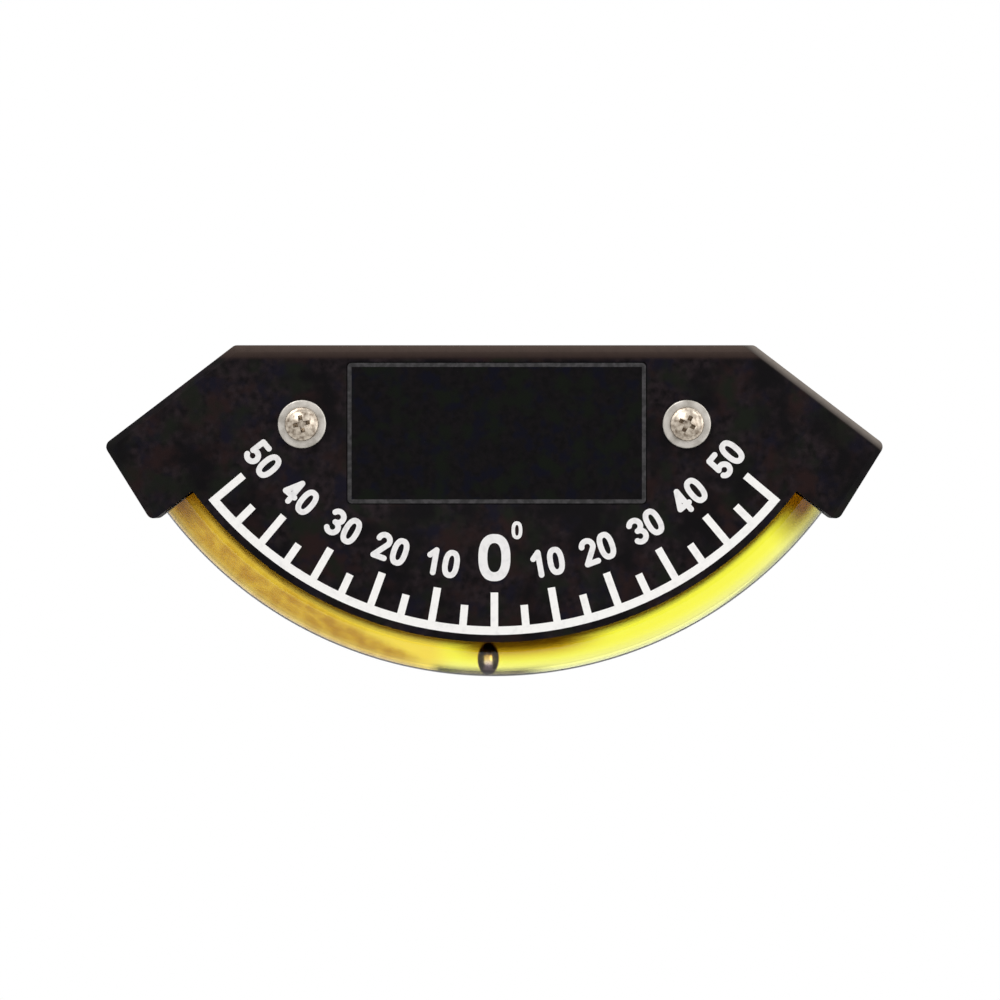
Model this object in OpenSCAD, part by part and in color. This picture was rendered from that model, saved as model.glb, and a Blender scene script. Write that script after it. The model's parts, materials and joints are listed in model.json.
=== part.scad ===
// Ball inclinometer: a curved liquid-filled tube with a steel ball, read against degree marks.
// X runs to the right, Z up, and the face looks along -Y. The origin lies on the back face,
// midway between the two mounting screws.

/* [Housing] */
// Length of the top edge between its sharp corners
top_w = 110.4; // [100:0.1:116]
// Height of the top edge above the mounting screws
top_rise = 16.8; // [15.5:0.1:20]
// Drop of the side corners below the mounting screws
side_drop = 4.4; // [2:0.1:6]
// Slope of the end faces from the horizontal
end_slope = 58.1; // [56:0.1:60]
// Gap between the rubber boots and the walls of the end faces
end_gap = 0.35; // [0.15:0.05:1]
// Depth from the face to the back
housing_depth = 14; // [13.5:0.1:18]
// Thickness of the moulded walls
wall = 2; // [1.6:0.1:2.4]
// Rounding of the corners of the outline
corner_r = 1.6; // [1:0.1:4]
// Width of the bevel round the face
face_bevel = 1.5; // [0.5:0.1:1.8]
// Angle from the zero mark at which the wings hide the tube
wing_angle = 53.2; // [53:0.1:54]
// Thickness of the stiffening ribs
rib_t = 1.2; // [0.8:0.1:2]
// Distance between stiffening ribs
rib_pitch = 15; // [12:0.5:16]
// Thickness of the plastic round each screw
boss_wall = 1.6; // [1.2:0.1:2]

/* [Scale] */
// Outer radius of the scale line
scale_r = 78.5; // [77.5:0.1:79]
// Drop of the scale line's lowest point below the mounting screws
scale_drop = 44.7; // [43.5:0.1:46]
// Width of the scale line
line_w = 1.8; // [1:0.1:2.5]
// Width of the black lip outside the scale line
lip_w = 1.55; // [1:0.05:1.6]
// Largest angle marked on each side
scale_end = 50; // [30:10:50]
// Angle between neighbouring marks
mark_step = 5; // [5:5:10]
// Angle between numbered marks
number_step = 10; // [10:10:10]
// Length of a numbered mark
major_len = 9; // [7:0.1:10]
// Length of a mark between numbers
minor_len = 6.1; // [4:0.1:6.5]
// Width of a mark
mark_w = 1.6; // [0.8:0.1:2]
// Height of the raised print
print_t = 0.15; // [0.1:0.01:0.3]
// Height of the numerals
digit_h = 6; // [4:0.1:7]
// Width of one numeral
digit_w = 3.6; // [2.6:0.1:3.8]
// Width of the strokes of the numerals
digit_stroke = 1.2; // [0.7:0.05:1.3]
// Distance between the centres of two neighbouring numerals
digit_pitch = 3.9; // [3.9:0.1:4.8]
// Gap between the numbered marks and their numerals
digit_gap = 2.4; // [1:0.1:4]
// Height of the zero
zero_h = 10; // [8:0.1:11]
// Width of the zero
zero_w = 6.8; // [5:0.1:8]
// Width of the stroke of the zero
zero_stroke = 1.9; // [1:0.1:2.2]
// Width of the degree ring beside the zero
degree_w = 2.3; // [2:0.1:3]
// Height of the degree ring
degree_h = 3.8; // [2.4:0.1:4]
// Width of the stroke of the degree ring
degree_stroke = 0.75; // [0.5:0.05:0.8]
// Height of the degree ring's centre above the top of the zero
degree_rise = 0.8; // [0:0.1:1]

/* [Nameplate] */
// Width of the nameplate
plate_w = 63.4; // [50:0.1:64]
// Height of the nameplate
plate_h = 29.9; // [20:0.1:30]
// Drop of the centre of the nameplate below the mounting screws
plate_drop = 1.9; // [1.5:0.1:3]
// How far the nameplate sits to the right of the middle
plate_shift = 0.5; // [-1:0.1:1]
// Thickness of the nameplate
plate_t = 0.4; // [0.3:0.05:0.5]
// Depth of the recess that holds the nameplate
plate_recess = 0.5; // [0.5:0.05:0.8]
// Rounding of the corners of the nameplate
plate_r = 0.8; // [0.3:0.1:2]

/* [Tube and ball] */
// Outer diameter of the tube
tube_d = 8; // [7.6:0.1:8]
// Diameter of the tube's bore
bore_d = 5.2; // [5:0.05:5.6]
// How far the lip of the housing stands over the tube
tube_tuck = 0.5; // [0.1:0.05:0.6]
// Angle at which the tube ends, hidden in the wings
tube_end = 60; // [59:0.1:60]
// Diameter of the ball
ball_d = 4.762; // [4.6:0.002:4.8]
// Angle at which the ball stands in the photograph, left of zero
ball_rest = -0.9; // [-3:0.1:3]
// Gap under the ball, taken up by a film of liquid
ball_film = 0.1; // [0.05:0.01:0.15]
// Thickness of the strip that beds the tube
bed_t = 0.3; // [0.2:0.05:0.5]

/* [Plugs and boots] */
// Angle of the inner faces of the plugs
plug_face = 53.9; // [53.8:0.1:54.4]
// Diameter of the shank of a plug
plug_d = 4.9; // [4.6:0.05:4.9]
// Diameter of the head of a plug
plug_head_d = 7.2; // [6.4:0.1:7.4]
// Thickness of the head of a plug
plug_head_t = 1; // [0.6:0.1:1.2]
// Thickness of the O-ring's section
o_ring_t = 0.8; // [0.6:0.05:0.9]
// Distance from the inner face of a plug to its O-ring
o_ring_set = 2.6; // [2:0.1:4]
// Wall thickness of a rubber boot
boot_t = 0.7; // [0.6:0.05:0.8]
// Length of tube that a boot covers
boot_grip = 5.4; // [4:0.1:5.6]

/* [Mounting screws] */
// Distance between the two mounting screws
mount_spacing = 81.6; // [78:0.1:84]
// Thread diameter of a mounting screw
screw_d = 4; // [3:0.1:4]
// How much thinner the plain shank is than the thread
shank_cut = 0.5; // [0.2:0.05:0.6]
// Length of a mounting screw under its head
screw_len = 25; // [22:0.5:40]
// Diameter of the pan head
head_d = 7.2; // [7:0.1:8.5]
// Height of the pan head
head_h = 2.8; // [2.2:0.1:3.4]
// Length of the cross recess
cross_len = 4.2; // [3.5:0.1:5]
// Width of the arms of the cross recess
cross_w = 0.9; // [0.6:0.05:1.1]
// Depth of the cross recess
cross_deep = 1.6; // [1:0.1:2]
// Outer diameter of the washers
washer_d = 10.3; // [9:0.1:10.8]
// Thickness of the washers
washer_t = 0.8; // [0.5:0.1:1.2]
// Outer diameter of the sleeves that take the screws' load
sleeve_d = 7; // [6.2:0.1:7.4]
// Diameter of the holes in washers and sleeves
clear_d = 4.3; // [4.2:0.05:4.5]

/* [Back cover] */
// Thickness of the back cover
cover_t = 2; // [1.6:0.1:2.1]
// Distance inwards from the side corners to the upper cover screws
upper_inset = 21; // [19:0.5:22]
// Height of the upper cover screws above the side corners
upper_rise = 6.9; // [5:0.1:7.5]
// Distance inwards from the lip over the tube to the lower cover screws
lower_inset = 10; // [8:0.5:14]
// Angle of the lower cover screws on each side of zero
lower_angle = 13.3; // [8:0.1:18]
// Thread diameter of a cover screw
tap_d = 2.2; // [2:0.1:2.4]
// Length of a cover screw
tap_len = 8; // [6:0.1:9]
// Diameter of the countersunk head of a cover screw
tap_head_d = 4.2; // [3.8:0.1:4.4]
// Depth of the slot in a cover screw
tap_slot = 0.5; // [0.3:0.1:0.6]

/* [Fits] */
// Gap all round between parts that slip together
fit = 0.05; // [0.03:0.01:0.08]
// Gap round the back cover and the nameplate
ease = 0.15; // [0.1:0.01:0.2]

/* [Hidden] */
$fn = 96;
CUT = 0.5;          // how far a cut runs past the face it opens
FAR = 400;          // a reach past the whole object
CORNER_STEPS = 6;   // flat steps on each rounded corner
OVAL_STEPS = 48;    // flat steps round a zero
OVAL_POWER = 2.4;   // 2 gives an ellipse, and more gives squarer shoulders
DOME_SHARE = 0.55;  // part of a pan head's height that is domed
SLOT_SHARE = 0.64;  // length of a cover screw's slots, as a share of its head
SIDES = [-1, 1];    // left, right

mid_y = -housing_depth / 2;
face_y = -housing_depth;
arc_rise = scale_r - scale_drop;            // height of the arc's centre
lip_r = scale_r + lip_w;
tube_r = lip_r - tube_tuck + tube_d / 2;    // radius of the tube's centreline
groove_r = tube_d / 2 + bed_t + 2 * fit;
arc_wall = groove_r - tube_d / 2 + tube_tuck + wall;
boot_r = tube_d / 2 + fit + boot_t;
ball_r = tube_r + bore_d / 2 - ball_d / 2 - ball_film;
liquid_d = bore_d - fit;
ball_room_d = liquid_d + 2 * fit + 2 * (ball_r - tube_r) + fit;
half_spacing = mount_spacing / 2;
end_reach = tube_r + boot_r + end_gap + wall;   // from the arc's centre square to an end face
side_x = (end_reach - (side_drop + arc_rise) * cos(end_slope)) / sin(end_slope);
low_z = -side_drop - side_x * tan(end_slope);
digit_r = scale_r - major_len - digit_gap - digit_h / 2;
zero_r = scale_r - major_len - digit_gap - zero_h / 2;
upper_x = side_x - upper_inset;
upper_z = upper_rise - side_drop;
lower_x = (lip_r - lower_inset) * sin(lower_angle);
lower_z = arc_rise - (lip_r - lower_inset) * cos(lower_angle);
COVER_SCREWS = [[-upper_x, upper_z], [upper_x, upper_z], [-lower_x, lower_z], [lower_x, lower_z]];

// Angle that a length takes up along the tube's centreline.
function arc_angle(length) = length / tube_r * 180 / PI;

wall_angle = arc_angle(wall);
boot_from = tube_end - arc_angle(boot_grip);
head_to = tube_end + arc_angle(fit + plug_head_t);
boot_to = head_to + arc_angle(fit + boot_t);
o_ring_angle = plug_face + arc_angle(o_ring_set);
o_ring_r = bore_d / 2 - fit - o_ring_t / 2;

// ---- Points and places ----

function unit(v) = v / norm(v);

// Where two lines meet, each given by a point and a direction.
function meet(p, u, q, v) =
    p + u * ((q[0] - p[0]) * v[1] - (q[1] - p[1]) * v[0]) / (u[0] * v[1] - u[1] * v[0]);

// The corners of a clockwise outline, moved inwards by d.
function inset(pts, d) = [
    for (i = [0:len(pts) - 1])
        let (n = len(pts), a = pts[(i + n - 1) % n], b = pts[i], c = pts[(i + 1) % n],
             u = unit(b - a), v = unit(c - b))
            meet(b + d * [u[1], -u[0]], u, b + d * [v[1], -v[0]], v)
];

// The arc of radius r that rounds the corner b between a and c of a clockwise outline.
function round_corner(a, b, c, r) =
    let (u = unit(b - a), v = unit(c - b), turn = acos(u * v), t = r * tan(turn / 2),
         start = b - t * u, centre = start + r * [u[1], -u[0]], from = atan2(-u[0], u[1]) + 180)
        [for (i = [0:CORNER_STEPS])
            centre + r * [cos(from - turn * i / CORNER_STEPS), sin(from - turn * i / CORNER_STEPS)]];

// The same outline with every corner rounded.
function rounded(pts, r) = [
    for (i = [0:len(pts) - 1])
        let (n = len(pts))
            each round_corner(pts[(i + n - 1) % n], pts[i], pts[(i + 1) % n], r)
];

SHELL = [
    [-top_w / 2, top_rise], [top_w / 2, top_rise], [side_x, -side_drop],
    [0, low_z], [-side_x, -side_drop],
];

// Extrudes a drawing of the X-Z plane towards the face, from back_y.
module slab(back_y, depth) {
    translate([0, back_y, 0]) rotate([90, 0, 0]) linear_extrude(depth) children();
}

// Sweeps a profile about the arc's centre. In the profile X is the radius and Y the distance
// in front of the back face.
module arc_sweep(from, to) {
    translate([0, 0, arc_rise]) rotate([90, 0, 0]) rotate([0, 0, from - 90])
        rotate_extrude(angle = to - from) children();
}

// A round profile on the tube's centreline.
module tube_profile(d) {
    translate([tube_r, -mid_y]) circle(d = d);
}

// Moves to an angle of the scale, at a radius from the arc's centre. X there runs along the arc.
module on_arc(angle, r) {
    translate([0, mid_y, arc_rise]) rotate([0, -angle, 0]) translate([0, 0, -r]) children();
}

// Draws on the scale at an angle, with the drawing's top towards the arc's centre.
module on_scale(angle, r) {
    translate([0, arc_rise]) rotate(angle) translate([0, -r]) children();
}

// A drawing of everything within an angle on each side of zero, below the arc's centre.
module wedge(angle, rise = 0) {
    translate([0, arc_rise + rise])
        polygon([[0, 0], [FAR * sin(angle), -FAR * cos(angle)], [-FAR * sin(angle), -FAR * cos(angle)]]);
}

// A drawing of a band round the arc's centre between two radii and two angles.
module band(r1, r2, from, to) {
    intersection() {
        translate([0, arc_rise]) difference() {
            circle(r2);
            circle(r1);
        }
        translate([0, arc_rise])
            polygon([[0, 0], FAR * [sin(from), -cos(from)], FAR * [sin(to), -cos(to)]]);
    }
}

// The outline of the whole housing, drawn in by inset_d, and by arc_d along the tube.
module plan(inset_d = 0, arc_d = 0) {
    difference() {
        polygon(rounded(inset(SHELL, inset_d), max(corner_r - inset_d, fit)));
        difference() {
            wedge(wing_angle, inset_d / sin(wing_angle));
            translate([0, arc_rise]) circle(lip_r - arc_d);
        }
    }
}

// The piece that comes off a wing's sharp tip to round it.
module tip_trim(side) {
    along = [sin(wing_angle), -cos(wing_angle)];
    down = -[cos(end_slope), sin(end_slope)];
    tip = meet([0, arc_rise], along, [side_x, -side_drop], down);
    reach = corner_r / tan(acos(along * down) / 2);
    mirror([side < 0 ? 1 : 0, 0]) difference() {
        polygon([tip + CUT * unit(along + down), tip - reach * along, tip - reach * down]);
        translate(tip - reach * along + corner_r * [along[1] * -1, along[0]]) circle(corner_r);
    }
}

// ---- Housing ----

// A solid blank with the face bevelled all round.
module blank() {
    hull() {
        slab(0, housing_depth - face_bevel) polygon(rounded(SHELL, corner_r));
        slab(0, housing_depth) polygon(rounded(inset(SHELL, face_bevel), corner_r));
    }
}

module ribs() {
    count = floor(side_x / rib_pitch);
    for (i = [-count:count]) {
        translate([i * rib_pitch - rib_t / 2, -FAR]) square([rib_t, 2 * FAR]);
        translate([-FAR, (i - 0.5) * rib_pitch - rib_t / 2]) square([2 * FAR, rib_t]);
    }
}

// Everything that is moulded hollow behind the face, seen from the front.
module pockets() {
    difference() {
        plan(wall, arc_wall);
        ribs();
        for (side = SIDES)
            translate([side * half_spacing, 0]) circle(d = sleeve_d + 2 * fit + 2 * boss_wall);
        for (at = COVER_SCREWS)
            translate(at) circle(d = tap_d + 2 * boss_wall);
    }
    for (side = SIDES)
        intersection() {
            plan(wall, arc_wall);
            band(tube_r - boot_r - ease, FAR,
                 side * wing_angle, side * (boot_to + arc_angle(ease)));
        }
}

// Room in a wing's inner wall for the tube, open to the back so that the tube drops in.
module tube_notch(side) {
    slot_r = tube_d / 2 + ease;
    slab(CUT, CUT - mid_y)
        band(tube_r - slot_r, tube_r + slot_r,
             side * (wing_angle - wall_angle), side * (wing_angle + 2 * wall_angle));
    arc_sweep(min(side * (wing_angle - wall_angle), side * (wing_angle + 2 * wall_angle)),
              max(side * (wing_angle - wall_angle), side * (wing_angle + 2 * wall_angle)))
        tube_profile(2 * slot_r);
}

module front_housing() color("#232023") {
    pilot_deep = tap_len + 2 * fit;
    difference() {
        blank();
        slab(CUT, housing_depth + 2 * CUT) difference() {
            wedge(wing_angle);
            translate([0, arc_rise]) circle(lip_r);
        }
        for (side = SIDES) slab(CUT, housing_depth + 2 * CUT) tip_trim(side);
        slab(CUT, cover_t + CUT) plan(wall, arc_wall);
        slab(0, housing_depth - wall) pockets();
        arc_sweep(-wing_angle - wall_angle, wing_angle + wall_angle) tube_profile(2 * groove_r);
        for (side = SIDES) {
            tube_notch(side);
            arc_sweep(min(side * boot_from, side * boot_to) - arc_angle(ease),
                      max(side * boot_from, side * boot_to) + arc_angle(ease))
                tube_profile(2 * boot_r + 2 * fit);
            translate([side * half_spacing, CUT, 0]) rotate([90, 0, 0])
                cylinder(d = sleeve_d + 2 * fit, h = housing_depth + 2 * CUT);
        }
        for (at = COVER_SCREWS)
            translate([at[0], CUT, at[1]]) rotate([90, 0, 0])
                cylinder(d = tap_d + 2 * fit, h = pilot_deep + CUT);
        slab(face_y + plate_recess, plate_recess + CUT)
            plate_outline(plate_w + 2 * ease, plate_h + 2 * ease, plate_r + ease);
    }
}

module back_cover() color("#2a272a") {
    slot_r = tube_d / 2 + ease - fit;
    difference() {
        union() {
            slab(0, cover_t - fit) plan(wall + ease, arc_wall + ease);
            for (side = SIDES)
                slab(0, -mid_y)
                    band(tube_r - slot_r, tube_r + slot_r,
                         side * wing_angle, side * (wing_angle + 1.5 * wall_angle));
        }
        arc_sweep(-boot_to, boot_to) tube_profile(tube_d + 2 * ease);
        for (side = SIDES) {
            arc_sweep(min(side * boot_from, side * boot_to) - arc_angle(ease),
                      max(side * boot_from, side * boot_to) + arc_angle(ease))
                tube_profile(2 * boot_r + 2 * fit);
            translate([side * half_spacing, CUT, 0]) rotate([90, 0, 0])
                cylinder(d = sleeve_d + 2 * fit, h = cover_t + 2 * CUT);
        }
        for (at = COVER_SCREWS)
            translate([at[0], 0, at[1]]) {
                translate([0, CUT, 0]) rotate([90, 0, 0])
                    cylinder(d = tap_d + 2 * fit, h = cover_t + 2 * CUT);
                countersink(fit);
            }
    }
}

// ---- Face ----

module plate_outline(w, h, r) {
    translate([plate_shift, -plate_drop]) polygon(rounded(
        [[-w / 2, h / 2], [w / 2, h / 2], [w / 2, -h / 2], [-w / 2, -h / 2]], r));
}

module nameplate() color("#16161c") {
    slab(face_y + plate_recess, plate_t) plate_outline(plate_w, plate_h, plate_r);
}

module scale_marks() color("#f5f3f0") {
    edge = asin(mark_w / 2 / scale_r);
    square_end = scale_r * cos(edge);       // where a mark's square end meets the line's edge
    slab(face_y, print_t) {
        band(scale_r - line_w, scale_r, -scale_end - edge, 0);
        band(scale_r - line_w, scale_r, 0, scale_end + edge);
        for (a = [-scale_end:mark_step:scale_end])
            on_scale(a, square_end)
                translate([-mark_w / 2, 0])
                    square([mark_w, a % number_step == 0 ? major_len : minor_len]);
    }
}

// A straight stroke with round ends.
module stroke(from, to, s) {
    run = to - from;
    translate(from) rotate(atan2(run[1], run[0])) {
        translate([0, -s / 2]) square([norm(run), s]);
        circle(d = s);
        translate([norm(run), 0]) circle(d = s);
    }
}

// A bent stroke with round ends: a ring of outer radius r with a gap of under half a turn.
module bow(centre, r, from, to, s) {
    translate(centre) {
        difference() {
            circle(r);
            circle(r - s);
            polygon([[0, 0], 8 * r * [cos(to), sin(to)], 8 * r * [cos(from), sin(from)]]);
        }
        for (a = [from, to]) rotate(a) translate([r - s / 2, 0]) circle(d = s);
    }
}

// The outline of an oval.
function oval(w, h) = [
    for (i = [0:OVAL_STEPS - 1])
        let (a = 360 * i / OVAL_STEPS, bend = 2 / OVAL_POWER)
            [sign(cos(a)) * pow(abs(cos(a)), bend) * w / 2, sign(sin(a)) * pow(abs(sin(a)), bend) * h / 2]
];

// A ring drawn out upwards, as in a zero.
module long_ring(w, h, s) {
    difference() {
        polygon(oval(w, h));
        polygon(oval(w - 2 * s, h - 2 * s));
    }
}

// One numeral from 0 to 5, centred.
module digit(value, w = digit_w, h = digit_h, s = digit_stroke) {
    x = (w - s) / 2;
    z = (h - s) / 2;
    bowl = (h + s) / 4;
    hook = 150;         // where the open ends of a 3 and a 5 point
    neck = -40;         // where the head of a 2 runs into its slope
    if (value == 0) long_ring(w, h, s);
    if (value == 1) {
        stroke([x / 3, -z], [x / 3, z], s);
        stroke([x / 3, z], [-x * 2 / 3, z - h / 5], s);
    }
    if (value == 2) {
        bow([0, h / 2 - w / 2], w / 2, neck, hook + 20, s);
        stroke([x * cos(neck), h / 2 - w / 2 + x * sin(neck)], [-x, -z], s);
        stroke([-x, -z], [x, -z], s);
    }
    if (value == 3) {
        bow([0, h / 2 - bowl], bowl, -90, hook, s);
        bow([0, bowl - h / 2], bowl, -hook, 90, s);
    }
    if (value == 4) {
        stroke([x / 2, -z], [x / 2, z], s);
        stroke([x / 2, z], [-x, -h / 6], s);
        stroke([-x, -h / 6], [x, -h / 6], s);
    }
    if (value == 5) {
        bow([0, bowl - h / 2], bowl, -hook, hook - 30, s);
        stroke([-x * 0.7, bowl - h / 2 + x * 0.7], [-x * 0.6, z], s);
        stroke([-x * 0.6, z], [x * 0.9, z], s);
    }
}

module scale_numerals() color("#e1dee1") {
    for (side = SIDES, value = [number_step:number_step:scale_end], place = [0, 1])
        slab(face_y, print_t) on_scale(side * value, digit_r)
            translate([(place - 0.5) * digit_pitch, 0])
                digit(place == 0 ? floor(value / 10) : value % 10);
    slab(face_y, print_t) on_scale(0, zero_r) long_ring(zero_w, zero_h, zero_stroke);
    slab(face_y, print_t) on_scale(0, zero_r)
        translate([zero_w / 2 + degree_w * 0.6, zero_h / 2 + degree_rise])
            long_ring(degree_w, degree_h, degree_stroke);
}

// ---- Tube and ball ----

module vial_tube() color("#e8eef0", 0.35) {
    arc_sweep(-tube_end, tube_end) difference() {
        tube_profile(tube_d);
        tube_profile(bore_d);
    }
}

module damping_fluid() color("#f0e23c", 0.6) {
    difference() {
        arc_sweep(-plug_face + arc_angle(fit), plug_face - arc_angle(fit)) tube_profile(liquid_d);
        on_arc(ball_rest, ball_r) sphere(d = ball_room_d);
    }
}

module indicator_ball() color("#3a3638") {
    on_arc(ball_rest, ball_r) sphere(d = ball_d);
}

module bedding_strip() color("#1c1b1d") {
    reach = wing_angle - 2 * wall_angle;
    arc_sweep(-reach, reach) intersection() {
        difference() {
            tube_profile(tube_d + 2 * fit + 2 * bed_t);
            tube_profile(tube_d + 2 * fit);
        }
        translate([0, -mid_y - tube_d]) square([lip_r, 2 * tube_d]);
    }
}

// ---- Ends of the tube, drawn for the right-hand side ----

module handed(side) {
    mirror([side < 0 ? 1 : 0, 0, 0]) children();
}

module end_plug(side) color("#e6e2d6") handed(side) {
    half_groove = arc_angle(o_ring_t / 2 + fit);
    difference() {
        arc_sweep(plug_face, tube_end + arc_angle(fit)) tube_profile(plug_d);
        arc_sweep(o_ring_angle - half_groove, o_ring_angle + half_groove) difference() {
            tube_profile(plug_d + CUT);
            tube_profile(2 * (o_ring_r - o_ring_t / 2 - fit));
        }
    }
    arc_sweep(tube_end + arc_angle(fit), head_to) tube_profile(plug_head_d);
}

module plug_o_ring(side) color("#151515") handed(side) {
    on_arc(o_ring_angle, tube_r) rotate([0, 90, 0])
        rotate_extrude() translate([o_ring_r, 0]) circle(d = o_ring_t);
}

module end_boot(side) color("#1b1a1c") handed(side) {
    difference() {
        arc_sweep(boot_from, boot_to) tube_profile(2 * boot_r);
        arc_sweep(boot_from - 1, head_to + arc_angle(fit)) tube_profile(tube_d + 2 * fit);
    }
}

// ---- Fasteners ----

// Turns a part that is drawn along +Z, from a head at zero, to point from the back into the housing.
module into_back() {
    rotate([90, 0, 0]) children();
}

module mounting_screw(side) color("#c8c3b9") {
    seat = -face_y + washer_t;
    dome_h = head_h * DOME_SHARE;
    dome_r = (head_d * head_d / 4 + dome_h * dome_h) / (2 * dome_h);
    translate([side * half_spacing, 0, 0]) rotate([90, 0, 0]) {
        translate([0, 0, seat - screw_len]) cylinder(d = screw_d, h = screw_len - seat);
        cylinder(d = screw_d - shank_cut, h = seat);
        translate([0, 0, seat]) difference() {
            intersection() {
                cylinder(d = head_d, h = head_h);
                translate([0, 0, head_h - dome_r]) sphere(dome_r);
            }
            translate([0, 0, head_h - cross_deep]) for (turn = [45, 135]) rotate(turn)
                translate([-cross_len / 2, -cross_w / 2, 0]) cube([cross_len, cross_w, cross_deep + CUT]);
        }
    }
}

module mounting_washer(side) color("#cfcabf") {
    translate([side * half_spacing, face_y, 0]) rotate([90, 0, 0]) difference() {
        cylinder(d = washer_d, h = washer_t);
        translate([0, 0, -CUT]) cylinder(d = clear_d, h = washer_t + 2 * CUT);
    }
}

module mounting_sleeve(side) color("#b9b6b0") {
    translate([side * half_spacing, 0, 0]) rotate([90, 0, 0]) difference() {
        cylinder(d = sleeve_d, h = housing_depth);
        translate([0, 0, -CUT]) cylinder(d = clear_d, h = housing_depth + 2 * CUT);
    }
}

// The cone of a countersunk head, grown by a gap, from the back face inwards.
module countersink(gap) {
    sink = (tap_head_d - tap_d) / 2;
    into_back() cylinder(d1 = tap_head_d + 2 * gap, d2 = tap_d + 2 * gap, h = sink);
}

module cover_screw(index) color("#8f8d8a") {
    at = COVER_SCREWS[index];
    translate([at[0], 0, at[1]]) difference() {
        union() {
            into_back() cylinder(d = tap_d, h = tap_len);
            countersink(0);
        }
        for (turn = [0, 90]) into_back() rotate(turn)
            translate([-tap_head_d * SLOT_SHARE / 2, -tap_slot / 2, -CUT])
                cube([tap_head_d * SLOT_SHARE, tap_slot, tap_slot + CUT]);
    }
}

// ---- The parts ----

front_housing();
back_cover();
nameplate();
scale_marks();
scale_numerals();
vial_tube();
damping_fluid();
indicator_ball();
bedding_strip();
end_plug(-1);  // end_plug_left
end_plug(1);  // end_plug_right
plug_o_ring(-1);  // plug_o_ring_left
plug_o_ring(1);  // plug_o_ring_right
end_boot(-1);  // end_boot_left
end_boot(1);  // end_boot_right
mounting_screw(-1);  // mounting_screw_left
mounting_screw(1);  // mounting_screw_right
mounting_washer(-1);  // mounting_washer_left
mounting_washer(1);  // mounting_washer_right
mounting_sleeve(-1);  // mounting_sleeve_left
mounting_sleeve(1);  // mounting_sleeve_right
cover_screw(0);  // cover_screw_upper_left
cover_screw(1);  // cover_screw_upper_right
cover_screw(2);  // cover_screw_lower_left
cover_screw(3);  // cover_screw_lower_right
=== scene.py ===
"""Dresses a ball-and-tube inclinometer: finishes for its housing, scale, tube, liquid, ball and screws.

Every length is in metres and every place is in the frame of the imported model. X runs to the right,
Z up, and the face looks along -Y. The origin lies on the back face between the mounting screws.
"""

from __future__ import annotations

import json
import logging
import math
from dataclasses import dataclass
from enum import Enum

import bmesh
import bpy
from mathutils import Matrix, Vector


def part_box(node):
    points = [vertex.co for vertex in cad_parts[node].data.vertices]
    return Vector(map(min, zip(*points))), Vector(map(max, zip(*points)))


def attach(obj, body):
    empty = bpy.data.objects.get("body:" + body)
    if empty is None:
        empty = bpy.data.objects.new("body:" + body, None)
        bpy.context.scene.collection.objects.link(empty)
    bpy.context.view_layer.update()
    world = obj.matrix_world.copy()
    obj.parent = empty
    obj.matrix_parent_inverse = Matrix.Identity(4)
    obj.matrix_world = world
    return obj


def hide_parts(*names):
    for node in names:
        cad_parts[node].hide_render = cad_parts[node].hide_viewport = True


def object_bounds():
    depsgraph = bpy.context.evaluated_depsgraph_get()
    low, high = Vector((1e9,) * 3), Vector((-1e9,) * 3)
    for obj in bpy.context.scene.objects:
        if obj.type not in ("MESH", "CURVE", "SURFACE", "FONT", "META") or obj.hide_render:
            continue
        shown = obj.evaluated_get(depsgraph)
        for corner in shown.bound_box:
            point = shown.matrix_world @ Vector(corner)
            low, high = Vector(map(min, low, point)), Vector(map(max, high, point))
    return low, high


Colour = tuple[float, float, float]
Point = tuple[float, float, float]
Pair = tuple[float, float]
Faces = list[tuple[int, ...]]
Edges = list[bmesh.types.BMEdge]
Socket = bpy.types.NodeSocket

MM = 0.001
LIQUID_GAP = 0.025 * MM
CREASE = 30.0
LOG = logging.getLogger("inclinometer")
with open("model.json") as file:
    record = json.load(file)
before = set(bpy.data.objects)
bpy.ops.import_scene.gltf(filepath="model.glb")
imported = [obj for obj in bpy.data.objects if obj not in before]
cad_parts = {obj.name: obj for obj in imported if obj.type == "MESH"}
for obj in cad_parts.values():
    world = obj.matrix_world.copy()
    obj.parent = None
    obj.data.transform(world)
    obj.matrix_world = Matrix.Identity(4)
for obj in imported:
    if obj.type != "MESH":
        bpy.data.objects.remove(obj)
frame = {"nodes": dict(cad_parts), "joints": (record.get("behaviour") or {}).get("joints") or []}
CAD_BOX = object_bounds()


class Side(Enum):
    """The two hands of the housing, seen from the front."""

    LEFT = -1
    RIGHT = 1

    @property
    def word(self) -> str:
        """The side's name as the nodes spell it."""
        return self.name.lower()


# ---- Finishes ----


def srgb(red: int, green: int, blue: int) -> tuple[float, float, float, float]:
    """Turns a screen colour into the linear colour that a shader takes.

    Args:
        red: Red from 0 to 255.
        green: Green from 0 to 255.
        blue: Blue from 0 to 255.

    Returns:
        The linear colour with an alpha of 1.
    """

    def linear(value: int) -> float:
        """Undoes the screen's curve for one channel."""
        share = value / 255
        return share / 12.92 if share <= 0.04045 else ((share + 0.055) / 1.055) ** 2.4

    return (linear(red), linear(green), linear(blue), 1.0)


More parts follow.
